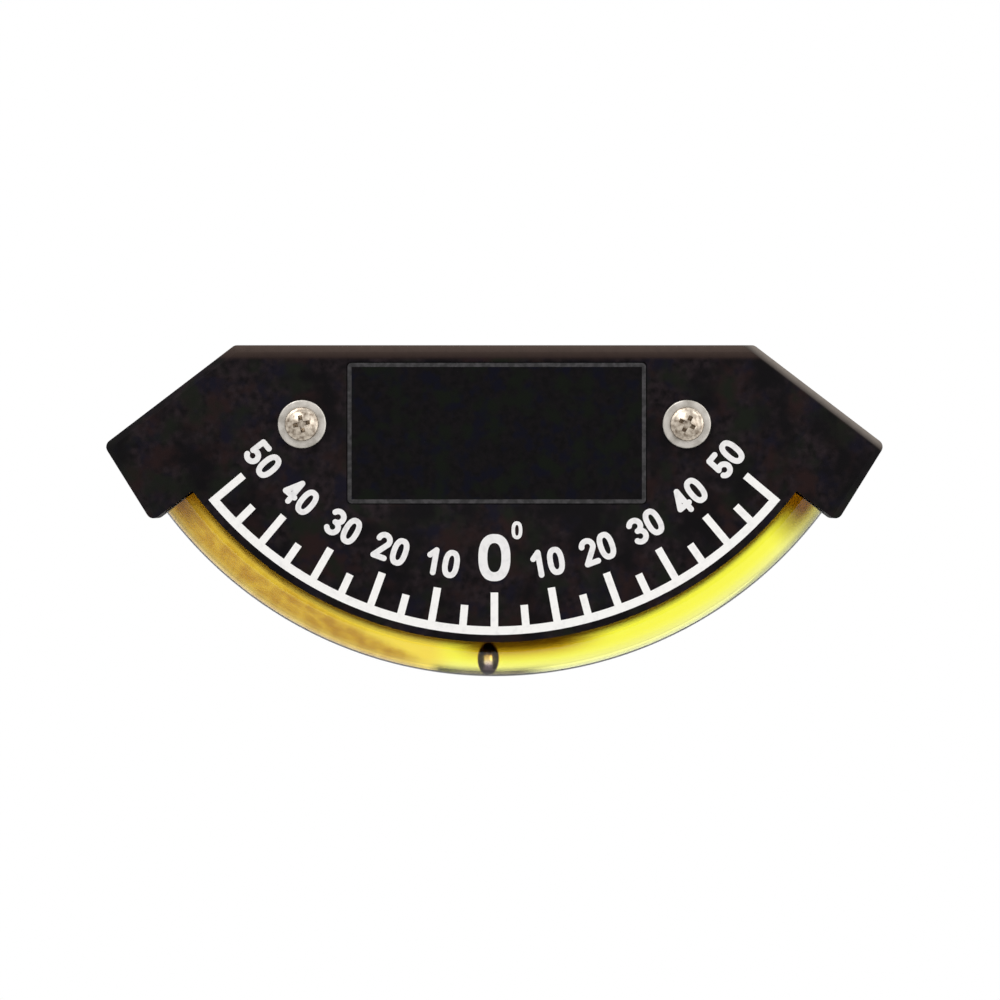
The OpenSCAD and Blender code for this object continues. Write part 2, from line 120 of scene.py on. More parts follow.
class Shader:
    """A node tree with one Principled shader, and short ways to add the nodes that feed it."""

    def __init__(self, name: str) -> None:
        """Starts a material of this name.

        Args:
            name: The material's name.
        """
        self.material = bpy.data.materials.new(name)
        self.material.use_nodes = True
        self.tree = self.material.node_tree
        self.surface = self.tree.nodes["Principled BSDF"]
        self.output = self.tree.nodes["Material Output"]
        self.place = self.tree.nodes.new("ShaderNodeTexCoord").outputs["Object"]

    def set(self, **values: object) -> None:
        """Sets sockets of the Principled shader, named in lower case with underscores.

        Args:
            **values: The sockets' names and their values.
        """
        for name, value in values.items():
            self.surface.inputs[name.replace("_", " ").title().replace("Ior", "IOR")].default_value = value

    def noise(self, grain: float, detail: float, shift: float = 0.0) -> Socket:
        """Adds a cloudy pattern.

        Args:
            grain: The size of its spots.
            detail: How many finer layers it holds.
            shift: How far the pattern is moved, so that two patterns of one grain differ.

        Returns:
            A value from 0 to 1 over the surface.
        """
        mapping = self.tree.nodes.new("ShaderNodeMapping")
        mapping.inputs["Location"].default_value = (shift, 0, shift)
        self.tree.links.new(self.place, mapping.inputs["Vector"])
        node = self.tree.nodes.new("ShaderNodeTexNoise")
        node.inputs["Scale"].default_value = 1 / grain
        node.inputs["Detail"].default_value = detail
        self.tree.links.new(mapping.outputs["Vector"], node.inputs["Vector"])
        return node.outputs["Fac"]

    def ramp(self, value: Socket, span: Pair, low: Colour, high: Colour) -> Socket:
        """Turns a value into a blend of two screen colours.

        Args:
            value: The value that drives it.
            span: The values where the blend starts and ends.
            low: The colour up to its start.
            high: The colour from its end on.

        Returns:
            The colour over the surface.
        """
        node = self.tree.nodes.new("ShaderNodeValToRGB")
        for stop, place, colour in zip(node.color_ramp.elements, span, (low, high)):
            stop.position = place
            stop.color = srgb(*colour)
        self.tree.links.new(value, node.inputs["Fac"])
        return node.outputs["Color"]

    def spread(self, value: Socket, low: float, high: float) -> Socket:
        """Maps a value from 0 to 1 onto a range.

        Args:
            value: The value that drives it.
            low: The result at 0.
            high: The result at 1.

        Returns:
            The mapped value.
        """
        node = self.tree.nodes.new("ShaderNodeMapRange")
        node.inputs["To Min"].default_value = low
        node.inputs["To Max"].default_value = high
        self.tree.links.new(value, node.inputs["Value"])
        return node.outputs["Result"]

    def dot(self, direction: Point) -> Socket:
        """Gives a point's place along a direction.

        Args:
            direction: A direction of length 1.

        Returns:
            The distance from the origin in metres.
        """
        node = self.tree.nodes.new("ShaderNodeVectorMath")
        node.operation = "DOT_PRODUCT"
        node.inputs[1].default_value = direction
        self.tree.links.new(self.place, node.inputs[0])
        return node.outputs["Value"]

    def feed(self, socket: str, value: Socket) -> None:
        """Joins a value to a socket of the Principled shader.

        Args:
            socket: The socket's name.
            value: What drives it.
        """
        self.tree.links.new(value, self.surface.inputs[socket])

    def relief(self, value: Socket, depth: float) -> None:
        """Roughens the surface by a bump.

        Args:
            value: The bump's height from 0 to 1.
            depth: The height in metres at 1.
        """
        node = self.tree.nodes.new("ShaderNodeBump")
        node.inputs["Distance"].default_value = depth
        self.tree.links.new(value, node.inputs["Height"])
        self.tree.links.new(node.outputs["Normal"], self.surface.inputs["Normal"])

    def math(self, operation: str, first: object, second: object = 0.0) -> Socket:
        """Adds one step of arithmetic.

        Args:
            operation: The operation's name, as the Math node spells it.
            first: A value or a number.
            second: A value or a number.

        Returns:
            The result.
        """
        node = self.tree.nodes.new("ShaderNodeMath")
        node.operation = operation
        for socket, value in zip(node.inputs, (first, second)):
            if isinstance(value, (int, float)):
                socket.default_value = value
            else:
                self.tree.links.new(value, socket)
        return node.outputs[0]

    def times(self, first: Socket, second: Socket) -> Socket:
        """Multiplies two values."""
        return self.math("MULTIPLY", first, second)

    def window(self, value: Socket, low: float, high: float, soft: float) -> Socket:
        """Gives 1 where a value lies inside a range, and fades to 0 outside it.

        Args:
            value: The value.
            low: The range's lower end.
            high: The range's upper end.
            soft: How wide the fade is.

        Returns:
            A value from 0 to 1.
        """
        rise = self.step(value, low - soft, low)
        fall = self.step(value, high, high + soft)
        return self.times(rise, self.math("SUBTRACT", 1.0, fall))

    def step(self, value: Socket, start: float, end: float) -> Socket:
        """Rises smoothly from 0 to 1 between two values.

        Args:
            value: The value.
            start: Where the result is 0.
            end: Where the result is 1.

        Returns:
            A value from 0 to 1.
        """
        node = self.tree.nodes.new("ShaderNodeMapRange")
        node.interpolation_type = "SMOOTHSTEP"
        node.inputs["From Min"].default_value = start
        node.inputs["From Max"].default_value = end
        self.tree.links.new(value, node.inputs["Value"])
        return node.outputs["Result"]

    def mix(self, share: Socket, first: object, second: object) -> Socket:
        """Blends two colours.

        Args:
            share: How much of the second shows, from 0 to 1.
            first: A screen colour or what gives one.
            second: A screen colour or what gives one.

        Returns:
            The blend.
        """
        node = self.tree.nodes.new("ShaderNodeMix")
        node.data_type = "RGBA"
        self.tree.links.new(share, node.inputs["Factor"])
        for socket, value in ((node.inputs[6], first), (node.inputs[7], second)):
            if isinstance(value, tuple):
                socket.default_value = srgb(*value)
            else:
                self.tree.links.new(value, socket)
        return node.outputs[2]

    def flow(self, angle: Socket, across: Socket, along: float = 0.5, over: float = 2.2) -> Socket:
        """Adds streaks that run along a curved tube.

        Args:
            angle: The angle from the zero mark in degrees.
            across: The place across the tube.
            along: How many streaks there are in a degree.
            over: How many streaks lie between the centreline and the wall.

        Returns:
            A value from 0 to 1 over the surface.
        """
        place = self.tree.nodes.new("ShaderNodeCombineXYZ")
        self.tree.links.new(self.math("MULTIPLY", angle, along), place.inputs[0])
        self.tree.links.new(self.math("MULTIPLY", across, over), place.inputs[1])
        node = self.tree.nodes.new("ShaderNodeTexNoise")
        node.inputs["Scale"].default_value = 1.0
        node.inputs["Detail"].default_value = 3.0
        self.tree.links.new(place.outputs["Vector"], node.inputs["Vector"])
        return node.outputs["Fac"]

    def arc_place(self, arc: Arc, half: float) -> tuple[Socket, Socket]:
        """Gives a point's place along and across the curved tube.

        Args:
            arc: The arc that the tube follows.
            half: The distance from the centreline that counts as 1 across.

        Returns:
            The angle from the zero mark in degrees, and the place across, which is -1 at the inner side.
        """
        split = self.tree.nodes.new("ShaderNodeSeparateXYZ")
        self.tree.links.new(self.place, split.inputs["Vector"])
        x, z = split.outputs[0], self.math("SUBTRACT", arc.centre.z, split.outputs[2])
        angle = self.math("MULTIPLY", self.math("ARCTAN2", x, z), 180 / math.pi)
        reach = self.math("SQRT", self.math("ADD", self.times(x, x), self.times(z, z)))
        across = self.math("DIVIDE", self.math("SUBTRACT", reach, arc.tube_radius), half)
        return angle, across


@dataclass(frozen=True)
class Arc:
    """The arc that the tube follows, read from the model."""

    centre: Vector
    tube_radius: float
    outer: float
    bore: float
    end: float

    @classmethod
    def from_frame(cls) -> Arc:
        """Measures the arc on the tube and the liquid in the model.

        Returns:
            The arc, with its centre, radii and the angle of the tube's ends.
        """
        centre = Vector(frame["joints"][0]["pos_m"])
        low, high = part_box("vial_tube")
        wet_low, wet_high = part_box("damping_fluid")
        outer = (high.y - low.y) / 2
        tube_radius = centre.z - low.z - outer
        end = math.asin(high.x / (tube_radius + outer))
        return cls(centre, tube_radius, outer, (wet_high.y - wet_low.y) / 2 + LIQUID_GAP, end)

    def point(self, angle: float, out: float, deep: float) -> Point:
        """Gives a place beside the tube's centreline.

        Args:
            angle: The angle from the zero mark, in radians, positive to the right.
            out: How far outside the centreline it lies.
            deep: How far behind the centreline it lies.

        Returns:
            The place in the model's frame.
        """
        reach = self.tube_radius + out
        return (reach * math.sin(angle), self.centre.y + deep, self.centre.z - reach * math.cos(angle))

    def sweep(self, radius: float, start: float, end: float, steps: int, around: int) -> list[Point]:
        """Lists the points of a round tube along the arc.

        Args:
            radius: The tube's radius.
            start: The angle of its first ring.
            end: The angle of its last ring.
            steps: How many steps it has along the arc.
            around: How many points each ring has.

        Returns:
            The points, ring by ring.
        """
        return [
            self.point(
                start + (end - start) * step / steps,
                radius * math.cos(math.tau * turn / around),
                radius * math.sin(math.tau * turn / around),
            )
            for step in range(steps + 1)
            for turn in range(around)
        ]


@dataclass(frozen=True)
class Shoulder:
    """A stretch of moulded edge with a painted highlight, where its bevel would catch the light, seen from
    the front.
    """

    across: Pair
    edge: float
    width: float
    outer: Colour
    inner: Colour
    behind: float = 11.5 * MM
    front: float = 12.3 * MM

    def share(self, shader: Shader) -> Socket:
        """Gives how near a point is to the edge, from 0 at the stretch's inner side to 1 on the edge.

        Args:
            shader: The shader that uses it.

        Returns:
            A value from 0 to 1.
        """
        reach = shader.dot((self.across[0], 0.0, self.across[1]))
        facing = shader.step(shader.dot((0.0, -1.0, 0.0)), self.behind, self.front)
        return shader.times(shader.step(reach, self.edge - self.width, self.edge), facing)


class Finish:
    """What every finish shares: a name, and a fresh shader that it paints."""

    name: str

    def material(self) -> bpy.types.Material:
        """Builds the material.

        Returns:
            The material with its nodes.
        """
        shader = Shader(self.name)
        self.paint(shader)
        return shader.material

    def paint(self, shader: Shader) -> None:
        """Adds the finish's own nodes.

        Args:
            shader: The material's fresh shader.
        """
        raise NotImplementedError


@dataclass(frozen=True)
class MouldedPlastic(Finish):
    """Black plastic with a fine spark-eroded texture, a mottled tone and painted highlights on edges whose
    bevels would catch the light.
    """

    name: str
    dark: Colour
    pale: Colour
    tints: tuple[Colour, ...] = ()
    shoulders: tuple[Shoulder, ...] = ()
    roughness: Pair = (0.45, 0.62)
    gloss: float = 0.05
    patch: float = 1.6 * MM
    mottle: Pair = (0.34, 0.66)
    cloud_patches: float = 2.5
    cloud_cover: Pair = (0.47, 0.68)
    first_shift: float = 0.1
    next_shift: float = 0.07
    worn_fade: float = 0.3
    worn_cover: Pair = (0.75, 1.2)
    grain: float = 0.35 * MM
    depth: float = 0.02 * MM

    def paint(self, shader: Shader) -> None:
        """Mottles the plastic, lays each tint over it in clouds and paints highlights on its shoulders.

        Args:
            shader: The material's fresh shader.
        """
        speckle = shader.noise(self.patch, detail=4)
        tone = shader.ramp(speckle, self.mottle, self.dark, self.pale)
        for index, tint in enumerate(self.tints):
            shift = self.first_shift + self.next_shift * index
            cloud = shader.noise(self.patch * (self.cloud_patches + index), detail=4, shift=shift)
            tone = shader.mix(shader.step(cloud, *self.cloud_cover), tone, tint)
        # Painted highlights on the shoulders' bevels, broken up by the speckle.
        for shoulder in self.shoulders:
            share = shoulder.share(shader)
            worn = shader.mix(share, shoulder.inner, shoulder.outer)
            rise = shader.step(share, 0.0, self.worn_fade)
            cover = shader.times(rise, shader.spread(speckle, *self.worn_cover))
            tone = shader.mix(cover, tone, worn)
        shader.feed("Base Color", tone)
        fine = shader.noise(self.grain, detail=2)
        shader.feed("Roughness", shader.spread(fine, *self.roughness))
        shader.relief(fine, self.depth)
        shader.set(specular_ior_level=self.gloss)


@dataclass(frozen=True)
class PrintingInk(Finish):
    """Opaque ink, a little uneven in cover."""

    name: str
    full: Colour
    thin: Colour
    cover: Pair = (0.25, 0.5)
    roughness: Pair = (0.55, 0.4)
    gloss: float = 0.3
    patch: float = 1.4 * MM
    grain: float = 0.2 * MM
    depth: float = 0.006 * MM

    def paint(self, shader: Shader) -> None:
        """Lays the ink on in thin and full patches.

        Args:
            shader: The material's fresh shader.
        """
        cover = shader.noise(self.patch, detail=4)
        shader.feed("Base Color", shader.ramp(cover, self.cover, self.thin, self.full))
        shader.feed("Roughness", shader.spread(cover, *self.roughness))
        shader.relief(shader.noise(self.grain, detail=2), self.depth)
        shader.set(specular_ior_level=self.gloss)


@dataclass(frozen=True)
class ClearAcrylic(Finish):
    """Clear extruded tube with painted shade on its lower rim, and a painted dark reflection as a crescent in
    the rim below the ball.

    Angles are in degrees from the zero mark. Places across run from -1 at the inner side to 1 at the outer.
    """

    arc: Arc
    name: str = "clear_acrylic"
    clear: Colour = (252, 253, 251)
    # Painted shade on the lower rim: grey on the right, bluish on the left, which greys the yellow seen
    # through it.
    left_rim: Colour = (186, 196, 248)
    right_rim: Colour = (168, 172, 176)
    # Painted dark reflection in the rim below the ball, greenish near its left end.
    grey: Colour = (40, 35, 40)
    green: Colour = (26, 28, 10)
    rim_across: Pair = (0.52, 0.8)
    left_angles: Pair = (-9.0, -16.0)
    crescent_across: Pair = (0.4, 0.76)
    crescent_left: Pair = (-9.8, -7.6)
    crescent_right: Pair = (10.0, 3.5)
    green_angles: Pair = (-8.0, -6.2)
    green_fade: float = 1.8
    haze_size: float = 2.5 * MM
    roughness: Pair = (0.0, 0.03)
    index: float = 1.49

    def paint(self, shader: Shader) -> None:
        """Paints shade on the lower rim, and a dark reflection in it as a crescent below the ball's rest
        place.

        Args:
            shader: The material's fresh shader.
        """
        shader.feed("Roughness", shader.spread(shader.noise(self.haze_size, detail=3), *self.roughness))
        angle, across = shader.arc_place(self.arc, self.arc.outer)
        # Painted shade on the lower rim.
        rim = shader.mix(shader.step(angle, *self.left_angles), self.right_rim, self.left_rim)
        tone = shader.mix(shader.step(across, *self.rim_across), self.clear, rim)
        # Painted dark reflection: a crescent in the rim below the ball's rest place.
        dark = shader.mix(shader.window(angle, *self.green_angles, self.green_fade), self.grey, self.green)
        left, right = (shader.step(angle, *span) for span in (self.crescent_left, self.crescent_right))
        crescent = shader.times(shader.times(left, right), shader.step(across, *self.crescent_across))
        shader.feed("Base Color", shader.mix(crescent, tone, dark))
        shader.set(transmission_weight=1.0, ior=self.index)


@dataclass(frozen=True)
class WettedWall(Finish):
    """The bore's wall where liquid wets it: nearly unseen, because the two bend light alike."""

    name: str = "wetted_wall"
    patch: float = 6 * MM
    cover: Pair = (0.3, 0.7)
    tones: tuple[Colour, Colour] = ((253, 253, 250), (255, 255, 255))

    def paint(self, shader: Shader) -> None:
        """Tints the wall faintly.

        Args:
            shader: The material's fresh shader.
        """
        shader.feed("Base Color", shader.ramp(shader.noise(self.patch, detail=2), self.cover, *self.tones))
        shader.set(transmission_weight=1.0, ior=1.0, roughness=0.0)


@dataclass(frozen=True)
class TintedLiquid(Finish):
    """Yellow liquid, amber and streaky on the left, with painted brown shade under the lip, deeper near the
    ball and to its right, and at the wings.

    Angles are in degrees from the zero mark. Places across run from -1 at the inner side to 1 at the outer.
    """

    arc: Arc
    name: str = "tinted_liquid"
    lemon: Colour = (255, 254, 150)
    rim: Colour = (255, 255, 255)
    gold: Colour = (250, 224, 160)
    amber: Colour = (185, 139, 74)
    honey: Colour = (212, 173, 104)
    sheen: Colour = (240, 212, 168)
    pale_rim: Colour = (238, 214, 206)
    # Painted shade colours: tan and dark brown under the lip, brown at the wings.
    tan: Colour = (196, 150, 50)
    shade: Colour = (64, 40, 4)
    wing_shade: Colour = (112, 70, 4)
    rim_across: Pair = (-0.05, 0.7)
    gold_angles: Pair = (-5.0, -10.0)
    streak_cover: Pair = (0.38, 0.62)
    sheen_across: Pair = (-0.6, -0.42)
    sheen_fade: float = 0.2
    pale_rim_across: Pair = (0.55, 0.95)
    brown_from: float = -8.0
    brown_slant: float = 18.0
    brown_lean: float = 0.9
    brown_edge: Pair = (0.25, 0.75)
    brown_angles: Pair = (-9.0, -14.0)
    # Where the painted shade under the lip runs deeper, near the ball and to its right.
    stain_left: Pair = (-8.0, -1.0)
    stain_right: Pair = (19.0, 9.0)
    stain_across: Pair = (0.35, -0.5)
    deep_across: Pair = (-0.1, -0.85)
    lip_across: Pair = (-0.57, -0.94)
    wing_angles: Pair = (45.5, 53.0)
    wing_offset: float = 1.0
    wing_across: Pair = (0.1, 0.9)
    wing_outer_share: float = 0.35
    hue: Colour = (0.998, 0.988, 0.1)
    density: float = 360

    def paint(self, shader: Shader) -> None:
        """Tints the column from end to end and fills it with liquid that swallows blue.

        Args:
            shader: The material's fresh shader.
        """
        angle, across = shader.arc_place(self.arc, self.arc.bore)
        tone = shader.mix(shader.step(across, *self.rim_across), self.lemon, self.rim)
        tone = shader.mix(shader.step(angle, *self.gold_angles), tone, self.gold)
        tone = shader.mix(self.brown_share(shader, angle, across), tone, self.brown(shader, angle, across))
        # Painted shade: tan, then dark brown under the lip, deeper near the ball and to its right.
        near = shader.times(shader.step(angle, *self.stain_left), shader.step(angle, *self.stain_right))
        tone = shader.mix(shader.times(near, shader.step(across, *self.stain_across)), tone, self.tan)
        deep = shader.times(near, shader.step(across, *self.deep_across))
        lip = shader.math("MAXIMUM", deep, shader.step(across, *self.lip_across))
        tone = shader.mix(lip, tone, self.shade)
        turned_away = shader.math("ABSOLUTE", shader.math("ADD", angle, self.wing_offset))
        fade = shader.spread(shader.step(across, *self.wing_across), 1.0, self.wing_outer_share)
        wing = shader.times(shader.step(turned_away, *self.wing_angles), fade)
        shader.feed("Base Color", shader.mix(wing, tone, self.wing_shade))
        shader.set(transmission_weight=1.0, ior=1.0, roughness=0.0)
        volume = shader.tree.nodes.new("ShaderNodeVolumeAbsorption")
        volume.inputs["Color"].default_value = (*self.hue, 1)
        volume.inputs["Density"].default_value = self.density
        shader.tree.links.new(volume.outputs["Volume"], shader.output.inputs["Volume"])

    def brown(self, shader: Shader, angle: Socket, across: Socket) -> Socket:
        """Gives the streaky brown of the left half, lighter near the lip and at the rim.

        Args:
            shader: The material's shader.
            angle: The angle from the zero mark.
            across: The place across.

        Returns:
            The colour over the surface.
        """
        streaks = shader.flow(angle, across)
        tone = shader.ramp(streaks, self.streak_cover, self.amber, self.honey)
        tone = shader.mix(shader.window(across, *self.sheen_across, self.sheen_fade), tone, self.sheen)
        return shader.mix(shader.step(across, *self.pale_rim_across), tone, self.pale_rim)

    def brown_share(self, shader: Shader, angle: Socket, across: Socket) -> Socket:
        """Gives how much of the brown shows: more to the left, and nearer zero at the outer side.

        Args:
            shader: The material's shader.
            angle: The angle from the zero mark.
            across: The place across.

        Returns:
            A value from 0 to 1.
        """
        turn = shader.math("MULTIPLY", shader.math("SUBTRACT", angle, self.brown_from), -1 / self.brown_slant)
        border = shader.math("ADD", shader.math("MULTIPLY", across, self.brown_lean), turn)
        return shader.times(shader.step(border, *self.brown_edge), shader.step(angle, *self.brown_angles))


@dataclass(frozen=True)
class Metal(Finish):
    """Plated or polished metal with fine turning marks and a little tarnish."""

    name: str
    bright: Colour
    dull: Colour
    roughness: Pair
    grain: float = 0.15 * MM
    depth: float = 0.004 * MM
    patch: float = 2.5 * MM
    tarnish_cover: Pair = (0.3, 0.6)

    def paint(self, shader: Shader) -> None:
        """Tarnishes the metal in patches.

        Args:
            shader: The material's fresh shader.
        """
        tarnish = shader.noise(self.patch, detail=5)
        shader.feed("Base Color", shader.ramp(tarnish, self.tarnish_cover, self.dull, self.bright))
        fine = shader.noise(self.grain, detail=2)
        shader.feed("Roughness", shader.spread(fine, *self.roughness))
        shader.relief(fine, self.depth)
        shader.set(metallic=1.0)


@dataclass(frozen=True)
class SoftMoulding(Finish):
    """Moulded rubber or nylon, or closed-cell foam."""

    name: str
    tone: Colour
    cell: float
    depth: float
    roughness: float = 0.8
    roughness_range: float = 0.1
    pore_cover: Pair = (0.35, 0.65)
    pore_tone: float = 0.6

    def paint(self, shader: Shader) -> None:
        """Darkens and dents the surface at its pores.

        Args:
            shader: The material's fresh shader.
        """
        pores = shader.noise(self.cell, detail=3)
        low = tuple(int(channel * self.pore_tone) for channel in self.tone)
        shader.feed("Base Color", shader.ramp(pores, self.pore_cover, low, self.tone))
        shader.feed("Roughness", shader.spread(pores, self.roughness, self.roughness + self.roughness_range))
        shader.relief(pores, self.depth)


@dataclass(frozen=True)
class PaleFloor(Finish):
    """A pale floor that fades out towards its rim, so that no edge of it shows."""

    clear_from: float
    clear_to: float
    name: str = "pale_floor"
    tones: tuple[Colour, Colour] = ((240, 240, 238), (245, 245, 244))
    cover: Pair = (0.3, 0.7)
    patch: float = 60 * MM

    def paint(self, shader: Shader) -> None:
        """Makes the floor matt, and clear towards its rim.

        Args:
            shader: The material's fresh shader.
        """
        shader.feed("Base Color", shader.ramp(shader.noise(self.patch, detail=4), self.cover, *self.tones))
        shader.set(roughness=0.9, specular_ior_level=0.1)
        length = shader.tree.nodes.new("ShaderNodeVectorMath")
        length.operation = "LENGTH"
        shader.tree.links.new(shader.place, length.inputs[0])
        shader.feed("Alpha", shader.step(length.outputs["Value"], self.clear_to, self.clear_from))


# ---- Meshes ----


def shade(mesh: bpy.types.Mesh, crease: float = CREASE) -> None:
    """Turns a mesh's faces outward and shades it smoothly below an angle.

    Args:
        mesh: The mesh.
        crease: The angle in degrees above which an edge stays sharp.
    """
    work = bmesh.new()
    work.from_mesh(mesh)
    bmesh.ops.recalc_face_normals(work, faces=work.faces)
    for edge in work.edges:
        edge.smooth = len(edge.link_faces) == 2 and edge.calc_face_angle() < math.radians(crease)
    for face in work.faces:
        face.smooth = True
    work.to_mesh(mesh)
    work.free()


def place_mesh(name: str, mesh: bpy.types.Mesh) -> bpy.types.Object:
    """Puts a mesh into the scene.

    Args:
        name: The piece's name.
        mesh: Its mesh.

    Returns:
        The new object.
    """
    piece = bpy.data.objects.new(name, mesh)
    bpy.context.scene.collection.objects.link(piece)
    return piece


def make_piece(name: str, points: list[Point], faces: Faces, crease: float = CREASE) -> bpy.types.Object:
    """Makes a mesh object with smooth shading below an angle.

    Args:
        name: The piece's name.
        points: Its corners in the frame of the model.
        faces: The corners of each face.
        crease: The angle in degrees above which an edge stays sharp.

    Returns:
        The object, linked to the scene.
    """
    mesh = bpy.data.meshes.new(name)
    mesh.from_pydata(points, [], faces)
    shade(mesh, crease)
    return place_mesh(name, mesh)


def grid_faces(rows: int, columns: int) -> Faces:
    """Lists the faces of a grid of points whose rows run round to their start.

    Args:
        rows: How many rows of points there are.
        columns: How many points each row has.

    Returns:
        The corners of each face.
    """
    faces: Faces = []
    for row in range(rows - 1):
        here, there = row * columns, (row + 1) * columns
        for column in range(columns):
            after = (column + 1) % columns
            faces.append((here + column, here + after, there + after, there + column))
    return faces


def capped_faces(rows: int, columns: int) -> Faces:
    """Lists the faces of a round bar: its grid and the two ends.

    Args:
        rows: How many rows of points there are.
        columns: How many points each row has.

    Returns:
        The corners of each face.
    """
    last = (rows - 1) * columns
    return grid_faces(rows, columns) + [tuple(range(columns)), tuple(range(last, last + columns))]


def turns(steps: int) -> list[float]:
    """Lists the angles of a full turn's steps, in radians."""
    return [math.tau * step / steps for step in range(steps)]


def about(place: Matrix, radius: float, turn: float, height: float) -> Point:
    """Gives a point about an axis.

    Args:
        place: Where the axis stands.
        radius: The point's distance from the axis.
        turn: Its angle about the axis, in radians.
        height: Its height along the axis.

    Returns:
        The place in the model's frame.
    """
    return tuple(place @ Vector((radius * math.cos(turn), radius * math.sin(turn), height)))


def lathe(profile: list[Pair], steps: int, place: Matrix) -> list[Point]:
    """Lists the points of a profile turned about an axis, level by level.

    Args:
        profile: Radii and heights, from one end of the axis to the other.
        steps: How many steps there are in a turn.
        place: Where the axis stands.

    Returns:
        The points.
    """
    return [about(place, radius, turn, height) for radius, height in profile for turn in turns(steps)]


def ring(section: list[Pair], steps: int, place: Matrix) -> tuple[list[Point], Faces]:
    """Turns a closed section about an axis into a ring.

    Args:
        section: Radii and heights round the section.
        steps: How many steps there are in a turn.
        place: Where the axis stands.

    Returns:
        Its points and faces.
    """
    points = [about(place, radius, turn, height) for turn in turns(steps) for radius, height in section]
    faces = grid_faces(steps + 1, len(section))
    return points, [tuple(corner % len(points) for corner in face) for face in faces]


def bend(centre: Pair, radius: float, start: float, end: float, steps: int) -> list[Pair]:
    """Lists points along a circular bend.

    Args:
        centre: The bend's centre.
        radius: The bend's radius.
        start: The angle where it starts, in degrees.
        end: The angle where it ends, in degrees.
        steps: How many steps it has.

    Returns:
        The points from start to end.
    """
    angles = (math.radians(start + (end - start) * step / steps) for step in range(steps + 1))
    return [(centre[0] + radius * math.cos(angle), centre[1] + radius * math.sin(angle)) for angle in angles]


def carve(piece: bpy.types.Object, cutters: list[bpy.types.Object]) -> None:
    """Cuts shapes out of a piece, and takes the cutters away.

    Args:
        piece: The piece.
        cutters: The shapes to cut out of it.
    """
    for cutter in cutters:
        cut = piece.modifiers.new(cutter.name, "BOOLEAN")
        cut.operation = "DIFFERENCE"
        cut.solver = "EXACT"
        cut.object = cutter
    graph = bpy.context.evaluated_depsgraph_get()
    mesh = bpy.data.meshes.new_from_object(piece.evaluated_get(graph))
    piece.modifiers.clear()
    piece.data = mesh
    for cutter in cutters:
        bpy.data.objects.remove(cutter)
    shade(mesh)


def dress(node: str, material: bpy.types.Material) -> None:
    """Gives a carried-over node of the model one material.

    Args:
        node: The node's name.
        material: Its new material.
    """
    mesh = frame["nodes"][node].data
    mesh.materials.clear()
    mesh.materials.append(material)
    LOG.info("finished %s", node)


def settle(piece: bpy.types.Object, body: str, slot: str, *nodes: str) -> bpy.types.Object:
    """Lets a new piece ride on a body and stand for nodes of the model.

    Args:
        piece: The new piece.
        body: The body that it moves with.
        slot: The record's material slot; not used.
        *nodes: The nodes that it stands for.

    Returns:
        The same piece.
    """
    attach(piece, body)
    if nodes:
        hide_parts(*nodes)
    LOG.info("built %s", piece.name)
    return piece


# ---- Sub-assemblies ----


